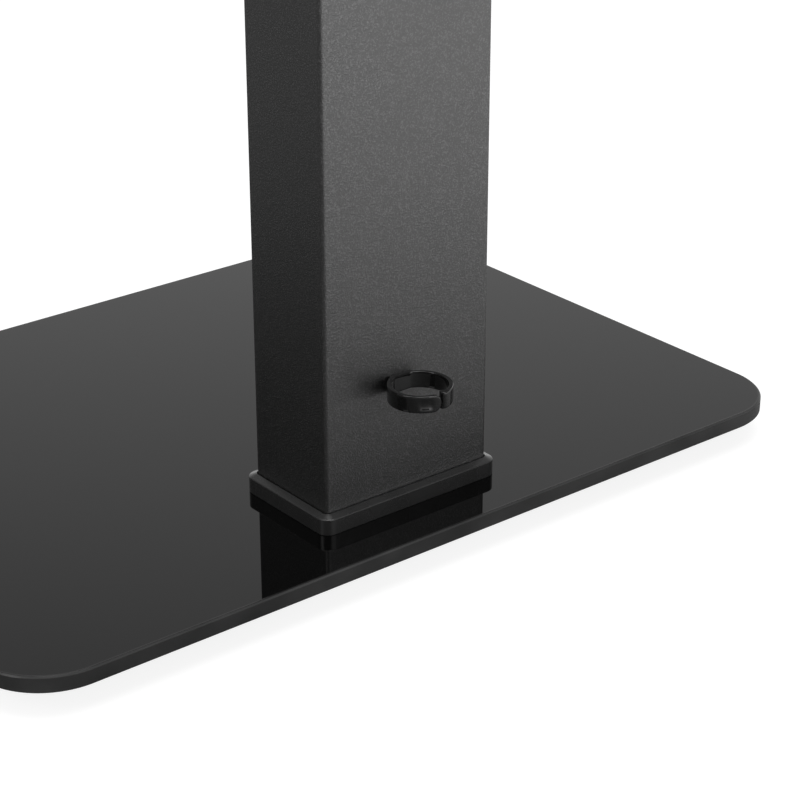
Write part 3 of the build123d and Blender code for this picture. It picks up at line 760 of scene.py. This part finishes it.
@dataclass
class CableClip:
    """Split ring pushed into the column's back: long finger, short arm with a bead, flat saddle."""

    radius: float = 14.9 * MM
    wall: float = 2.2 * MM
    band: float = 8 * MM
    finger_end: float = 89.0
    arm_end: float = 103.0
    bead: float = 2 * MM
    neck: float = 1.4
    tip_round: float = 3.4 * MM
    tip_share: float = 0.98
    thinnest: float = 0.02 * MM
    saddle_half: float = 6.5 * MM
    saddle_thick: float = 3 * MM
    saddle_blend: float = 0.5 * MM
    saddle_lean: float = 0.8
    steepest: float = 1.2
    section_power: float = 7.0
    dimple_turn: float = 62.0
    dimple_half: float = 2.0 * MM
    dimple_reach: float = 3.6 * MM
    dimple_high: float = 2.3 * MM
    dimple_depth: float = 0.95 * MM
    dimple_fall: float = 1.6
    sunk: float = 0.5 * MM
    stem: float = 3.3 * MM
    stem_length: float = 2.1 * MM
    barb: float = 4.1 * MM
    barb_tip: float = 2.6 * MM
    barb_length: float = 3.2 * MM
    rows: int = 220
    crowding: float = 0.35
    around: int = 48
    stem_around: int = 24

    def sections(self) -> tuple[Points, Points, Points, Points]:
        """The band's section along its sweep from the arm's bead to the finger's tip.

        Sections stand closer near both ends: crowding is the share of a cosine in their spacing.

        Returns:
            Angle in radians, outer radius, inner radius and half height of each section.
        """
        end = math.radians(self.arm_end)
        overhang = self.bead / self.radius
        span = math.radians(360 + self.finger_end) - end + overhang
        share = np.linspace(0, 1, self.rows)
        eased = (1 - np.cos(share * np.pi)) / 2
        angle = end - overhang + span * (self.crowding * eased + (1 - self.crowding) * share)
        from_bead = (angle - angle[0]) * self.radius
        from_tip = (angle[-1] - angle) * self.radius
        return angle, *self.radii(angle, from_bead), self.half_heights(from_tip)

    def radii(self, angle: Points, from_bead: Points) -> tuple[Points, Points]:
        """Outer and inner radius of each section.

        The bead is a circle that touches the band's outside from within: its half width at a
        distance x from its end is the root of r squared less (r - x) squared. Over the next neck
        times r the inside eases to the band's own. At the saddle both radii are those of straight
        lines across the ring, distance / cos(angle from the saddle).

        Args:
            angle: angle of each section.
            from_bead: distance of each section from the bead's end.

        Returns:
            Outer radii and inner radii.
        """
        r = self.bead
        chord = np.sqrt(np.clip(r * r - (r - from_bead) ** 2, 0, None))
        centre = self.radius - r
        rising = from_bead < r
        outer = np.where(rising, centre + chord, self.radius)
        swollen = centre - chord
        thin = self.radius - self.wall
        waist = np.clip((from_bead - r) / (self.neck * r), 0, 1)
        ease = waist * waist * (3 - 2 * waist)
        inner = np.where(rising, swollen, (centre - r) * (1 - ease) + thin * ease)
        lean = angle - math.radians(270)
        across = self.radius * np.tan(np.clip(lean, -self.steepest, self.steepest))
        flat = np.clip((self.saddle_half - np.abs(across)) / self.saddle_blend + 0.5, 0, 1)
        outer = np.where(flat > 0, self.radius * (1 - flat) + flat * self.radius / np.cos(lean), outer)
        saddle_inner = (self.radius - self.saddle_thick) / np.cos(lean)
        inner = np.where(np.abs(lean) < self.saddle_lean, np.minimum(inner, saddle_inner), inner)
        return outer, inner

    def half_heights(self, from_tip: Points) -> Points:
        """Half height of each section: the finger's tip is rounded by a circle in its corners."""
        near = np.clip(self.tip_round - from_tip, 0, self.tip_round)
        cut = self.tip_round - np.sqrt(self.tip_round ** 2 - near ** 2)
        return self.band / 2 - cut * self.tip_share

    def ring(self) -> Points:
        """The band as rings round its sections.

        A section is a superellipse, |x| to the power n plus |y| to the power n equals 1, whose
        power is high, so that it is a rectangle with soft corners. The dimple lowers the outside by
        a bell of the distance from its middle line, which runs dimple_half to each side.

        Returns:
            Array of sections by points by X, Y and Z about the ring's centre.
        """
        angle, outer, inner, high = self.sections()
        turn = np.linspace(0, 2 * np.pi, self.around, endpoint=False)
        power = 2 / self.section_power
        cos, sin = np.cos(turn), np.sin(turn)
        along = np.sign(cos) * np.abs(cos) ** power
        up = np.sign(sin) * np.abs(sin) ** power
        middle, half = (outer + inner) / 2, np.maximum((outer - inner) / 2, self.thinnest)
        radial = middle[:, None] + half[:, None] * along
        height = high[:, None] * up
        offset = (angle[:, None] - math.radians(360 + self.dimple_turn)) * self.radius
        beyond = np.clip(np.abs(offset) - self.dimple_half, 0, None)
        along_share = beyond / (self.dimple_reach - self.dimple_half)
        square = along_share ** 2 + (height / self.dimple_high) ** 2
        bell = np.exp(-square * self.dimple_fall)
        radial = radial - self.dimple_depth * bell * (along > 0)
        x, y = radial * np.cos(angle)[:, None], radial * np.sin(angle)[:, None]
        return np.stack([x, y, height], axis=-1)

    def stud(self) -> Points:
        """Stem and barb as circles along the line into the column."""
        inside = self.stem_length
        reach = np.array([-self.sunk, inside, inside, inside + self.barb_length])
        radii = np.array([self.stem, self.stem, self.barb, self.barb_tip])
        turn = np.linspace(0, 2 * np.pi, self.stem_around, endpoint=False)
        x = radii[:, None] * np.cos(turn)
        z = radii[:, None] * np.sin(turn)
        y = np.broadcast_to(-self.radius - reach[:, None], x.shape)
        return np.stack([x, y, z], axis=-1)

    def build(self) -> None:
        """Make the three clips at their CAD places."""
        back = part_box("column_tube")[1].y
        for name in ("lower", "middle", "upper"):
            node = f"cable_clip_{name}"
            middle = block(node)[2]
            place = np.array([middle.x, back + self.radius, middle.z])
            form = Form().add(self.ring() + place).add(self.stud() + place)
            form.build(f"clip_{name}", "stand", Finishes.clip, (node,), sharp=50.0)


@dataclass
class HandKnob:
    """Lobed knob on a hub. Its grip's outline is a circle less a raised cosine for each scallop."""

    node: str
    body: str
    axis: tuple[float, float, float]
    lobes: int = 6
    scallop: float = 0.18
    scallop_power: float = 1.5
    plain_share: float = 0.3
    fade_share: float = 0.4
    hub: float = 9 * MM
    hub_length: float = 3 * MM
    closing: float = 0.97
    shoulder: float = 1.5 * MM
    shoulder_drop: float = 1 * MM
    dish: float = 0.42
    dish_drop: float = 0.7 * MM
    middle_drop: float = 1.2 * MM
    around: int = 144

    def grid(self, radius: float, thick: float) -> Points:
        """The knob's surface about its own axis.

        A ring's radius is the outline's at its angle less the profile's inset. The scallops fade in
        between plain_share of the radius, within which a ring is a plain circle, and fade_share more.

        Args:
            radius: largest radius of the grip.
            thick: thickness of the grip.

        Returns:
            Array of rings by points by two radial parts and height.
        """
        turn = np.linspace(0, 2 * np.pi, self.around, endpoint=False)
        top, closing = self.hub_length + thick, radius * self.closing
        corners = [(closing, 0), (radius - self.hub, 0), (radius - self.hub, self.hub_length),
                   (0, self.hub_length), (0, top - self.shoulder_drop), (self.shoulder, top),
                   (radius * self.dish, top - self.dish_drop), (closing, top - self.middle_drop)]
        radii = [0.3 * MM, 0.3 * MM, 1.1 * MM, 2.2 * MM, 1.2 * MM, 4 * MM]
        profile = fillet_path(corners, radii, 6)
        wave = ((1 + np.cos(self.lobes * turn)) / 2) ** self.scallop_power
        plain = radius - profile[:, 0]
        fade = np.clip((plain - radius * self.plain_share) / (radius * self.fade_share), 0, 1)
        fade = np.where(profile[:, 1] < self.hub_length, 0, fade)
        reach = plain[:, None] - radius * self.scallop * wave * fade[:, None]
        height = np.broadcast_to(profile[:, 1, None], reach.shape)
        return np.stack([reach * np.cos(turn), reach * np.sin(turn), height], axis=-1)

    def build(self) -> None:
        """Stand the surface on its axis at the CAD knob's place."""
        low, high, middle = block(self.node)
        axis = Vector(self.axis)
        size = high - low
        length = abs(size.dot(axis))
        radius = max(size) / 2
        start = middle - axis * length / 2
        turned = np.array(axis.to_track_quat("Z", "Y").to_matrix())
        grid = self.grid(radius, length - self.hub_length) @ turned.T + np.array(start)
        form = Form().add(grid)
        form.build(self.node + "_grip", self.body, Finishes.satin, (self.node,), sharp=42.0)


@dataclass
class SheetMetal:
    """Folded and flat steel pieces: the CAD shape with its edges eased, as after blasting."""

    node: str
    body: str
    finish: Finish
    ease: float = 0.35 * MM
    crease: float = 32.0
    merge: float = 0.002 * MM
    flat: float = 0.5

    def build(self) -> None:
        """Merge a copy of the CAD mesh, join its flat triangles and bevel its sharp edges."""
        source = frame["nodes"][self.node]
        mesh = source.data.copy()
        mesh.name = self.node + "_eased"
        work = bmesh.new()
        work.from_mesh(mesh)
        bmesh.ops.remove_doubles(work, verts=work.verts, dist=self.merge)
        bmesh.ops.dissolve_limit(work, angle_limit=math.radians(self.flat), verts=work.verts,
                                 edges=work.edges)
        work.to_mesh(mesh)
        work.free()
        mesh.shade_smooth()
        mesh.set_sharp_from_angle(angle=math.radians(self.crease))
        piece = bpy.data.objects.new(self.node + "_eased", mesh)
        bpy.context.scene.collection.objects.link(piece)
        bevel = piece.modifiers.new("ease", "BEVEL")
        bevel.width = self.ease
        bevel.segments = 2
        bevel.limit_method = "ANGLE"
        bevel.angle_limit = math.radians(self.crease)
        bevel.harden_normals = True
        dress(piece, self.finish)
        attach(piece, self.body)
        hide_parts(self.node)
        LOG.info("%s: eased copy on %s", self.node, self.body)


@dataclass
class Head:
    """Mast top, swivel and tilt brackets, rail and arms."""

    sheets: tuple = (
        ("mast_tube", "mast", Finishes.textured),
        ("mast_seat_plate", "mast", Finishes.smooth),
        ("swivel_bracket", "swivel_head", Finishes.textured),
        ("tilt_bracket", "tilt_head", Finishes.smooth),
        ("cross_rail", "tilt_head", Finishes.smooth),
        ("arm_left", "left_arm", Finishes.smooth),
        ("arm_right", "right_arm", Finishes.smooth),
    )
    knobs: tuple = (
        ("clamp_knob", "height_knob", (0.0, 1.0, 0.0)),
        ("tilt_knob_left", "left_tilt_knob", (-1.0, 0.0, 0.0)),
        ("tilt_knob_right", "right_tilt_knob", (1.0, 0.0, 0.0)),
    )

    def build(self) -> None:
        """Make the eased sheets and the knobs."""
        for node, body, finish in self.sheets:
            SheetMetal(node, body, finish).build()
        for node, body, axis in self.knobs:
            HandKnob(node, body, axis).build()


@dataclass
class CadNodes:
    """Finishes of the CAD nodes that show as they are."""

    finishes: tuple[Finish, ...] = (
        Finishes.glass, Finishes.textured, Finishes.smooth, Finishes.satin, Finishes.clip,
        Finishes.rubber, Finishes.zinc, Finishes.nylon,
    )

    def build(self) -> None:
        """Dress every node by the record's slot for it."""
        by_slot = {finish.slot: finish for finish in self.finishes}
        for entry in frame["record"]["subparts"]:
            dress(frame["nodes"][entry["node"]], by_slot[entry["material_slot"]])
        LOG.info("%d nodes dressed", len(frame["nodes"]))


@dataclass(frozen=True)
class SoftBox:
    """A square lamp with a diffuser: its place, what it faces, its side and its power."""

    name: str
    at: tuple[float, float, float]
    aim: tuple[float, float, float]
    size: float
    watts: float

    def hang(self) -> None:
        """Make the lamp."""
        light = bpy.data.lights.new(self.name, "AREA")
        light.size = self.size
        light.energy = self.watts
        lamp = bpy.data.objects.new(self.name, light)
        lamp.visible_camera = False
        lamp.location = self.at
        lamp.rotation_mode = "QUATERNION"
        lamp.rotation_quaternion = (Vector(self.aim) - Vector(self.at)).to_track_quat("-Z", "Y")
        bpy.context.scene.collection.objects.link(lamp)


@dataclass
class Studio:
    """Pale floor, pale surroundings, soft lamps and the camera."""

    floor_half: float = 6.0
    floor_gap: float = 0.05 * MM
    floor_level: float = 0.9
    floor_share: float = 0.72
    floor_glow: float = 1.2
    far_glow: float = 0.12
    far_start: float = 0.8
    far_span: float = 2.0
    column_y: float = 0.1
    least_distance: float = 0.01
    # floor_dim to dark_turn: painted shadow and painted shade on the floor as it shows in reflections
    floor_dim: float = 0.03
    floor_reach: float = 0.8
    dim_power: float = 1.5
    least_shade: float = 0.16
    shade_power: float = 2.5
    dark_turn: float = -38.0
    mirror_share: float = 0.97
    backdrop: float = 0.96
    backdrop_power: float = 5.0
    room: float = 0.08
    ceiling: float = 0.35
    daylight: float = 0.5
    camera_at: tuple[float, float, float] = (0.5868, 0.8478, 0.5016)
    heading: float = 39.12
    pitch: float = 24.91
    lens: float = 101.6
    sensor: float = 36.0
    near: float = 0.05
    lamps: tuple[SoftBox, ...] = (
        SoftBox("back_box", (-0.3, 1.6, 0.62), (0.0, 0.1, 0.4), 1.2, 4.0),
        SoftBox("top_box", (0.0, 0.3, 2.9), (0.0, 0.0, 0.5), 2.0, 38.0),
        SoftBox("side_box", (2.4, 0.1, 1.9), (0.0, 0.1, 0.8), 1.0, 9.0),
    )

    def floor(self) -> None:
        """A wide pale sheet just under the feet."""
        half = self.floor_half
        corners = np.array([[-half, -half], [half, -half], [half, half], [-half, half]])
        points = np.concatenate([corners, np.full((4, 1), -self.floor_gap)], axis=1)
        mesh = bpy.data.meshes.new("studio_floor")
        mesh.from_pydata(points.tolist(), [], [[0, 1, 2, 3]])
        floor = bpy.data.objects.new("studio_floor", mesh)
        bpy.context.scene.collection.objects.link(floor)
        mesh.materials.append(self.paper())

    def paper(self) -> bpy.types.Material:
        """The floor's look: white where it is seen, less the object's shadow, and painted darker
        mirrored.

        In reflections the floor is painted dim round the column, a painted shadow of the stand, and
        rises to white at floor_reach as a power of the distance. It is also painted dimmer towards
        dark_turn, in degrees from X, which is what the column's narrow face mirrors: this painted
        shade rises from least_shade as a power of (1 - cos(angle from dark_turn)) / 2.

        Returns:
            The material.
        """
        material = bpy.data.materials.new("pale_floor")
        shader = Shader(material)
        paper = shader.node("ShaderNodeBsdfDiffuse", {}, {"Color": rgba(self.floor_level)})[0]
        path = shader.node("ShaderNodeLightPath", {}, {})
        mirrored = (path["Is Glossy Ray"] + path["Is Transmission Ray"]).clamped()
        parts = shader.node("ShaderNodeSeparateXYZ", {}, {0: shader.place()})
        across, along = parts["X"], parts["Y"] - self.column_y
        distance = (across * across + along * along + self.least_distance ** 2) ** 0.5
        # painted shadow of the stand: the floor's mirrored brightness is painted dim round the column
        rise = (distance * (1 / self.floor_reach)) ** self.dim_power
        painted_shadow_lift = (rise * (1 - self.floor_dim) + self.floor_dim).clamped()
        # painted shade towards dark_turn, on the side that the column's narrow face mirrors
        turn = math.radians(self.dark_turn)
        aside = (across * math.cos(turn) + along * math.sin(turn)) * distance ** -1
        shade = (aside * -0.5 + 0.5) ** self.shade_power * (1 - self.least_shade) + self.least_shade
        far = ((distance - self.far_start) * (1 / self.far_span)).clamped()
        seen = far * self.far_glow + self.floor_glow
        strength = path["Is Camera Ray"] * seen + mirrored * painted_shadow_lift * shade
        glow = shader.node("ShaderNodeEmission", {}, {"Color": rgba(1.0), "Strength": strength})[0]
        share = path["Is Camera Ray"] * self.floor_share + mirrored * self.mirror_share
        mixed = shader.node("ShaderNodeMixShader", {}, {0: share, 1: paper, 2: glow})[0]
        shader.node("ShaderNodeOutputMaterial", {}, {"Surface": mixed})
        return material

    def surroundings(self) -> None:
        """White to the camera, a pale gradient in reflections, an even light for everything else.

        In reflections the backdrop that the camera looks towards falls off to the room as a power
        of (1 + cos(angle from the heading)) / 2, and is dimmed to the ceiling's share upwards.
        """
        world = bpy.data.worlds.new("studio_world")
        bpy.context.scene.world = world
        shader = Shader(world)
        path = shader.node("ShaderNodeLightPath", {}, {})
        direction = shader.node("ShaderNodeTexCoord", {}, {})["Generated"]
        parts = shader.node("ShaderNodeSeparateXYZ", {}, {0: direction})
        yaw = math.radians(self.heading)
        behind = parts["X"] * (-math.sin(yaw) / 2) + parts["Y"] * (-math.cos(yaw) / 2) + 0.5
        pale = behind ** self.backdrop_power * (self.backdrop - self.room) + self.room
        pale = pale * (1 - parts["Z"].clamped() * (1 - self.ceiling))
        mirrored = (path["Is Glossy Ray"] + path["Is Transmission Ray"]).clamped()
        level = mirrored * (pale - self.daylight) + self.daylight
        level = path["Is Camera Ray"] * (1.0 - level) + level
        back = shader.node("ShaderNodeBackground", {}, {"Color": rgba(1.0), "Strength": level})[0]
        shader.node("ShaderNodeOutputWorld", {}, {"Surface": back})

    def camera(self) -> None:
        """Camera at the place and angle that the photograph's perspective gives."""
        yaw, pitch = math.radians(self.heading), math.radians(self.pitch)
        level = math.cos(pitch)
        ahead = Vector((-math.sin(yaw) * level, -math.cos(yaw) * level, -math.sin(pitch)))
        data = bpy.data.cameras.new("camera")
        data.lens = self.lens
        data.sensor_width = self.sensor
        data.clip_start = self.near
        camera = bpy.data.objects.new("camera", data)
        camera.location = self.camera_at
        camera.rotation_mode = "QUATERNION"
        camera.rotation_quaternion = ahead.to_track_quat("-Z", "Y")
        bpy.context.scene.collection.objects.link(camera)
        bpy.context.scene.camera = camera

    def build(self) -> None:
        """Set the studio up."""
        bpy.context.scene.view_settings.view_transform = "Standard"
        self.camera()
        self.floor()
        self.surroundings()
        for lamp in self.lamps:
            lamp.hang()


def main() -> None:
    """Build the studio and every sub-assembly in order."""
    logging.basicConfig(level=logging.INFO, format="%(name)s %(message)s")
    Studio().build()
    CadNodes().build()
    Base().build()
    Column().build()
    CableClip().build()
    Head().build()


if __name__ == "__main__":
    main()
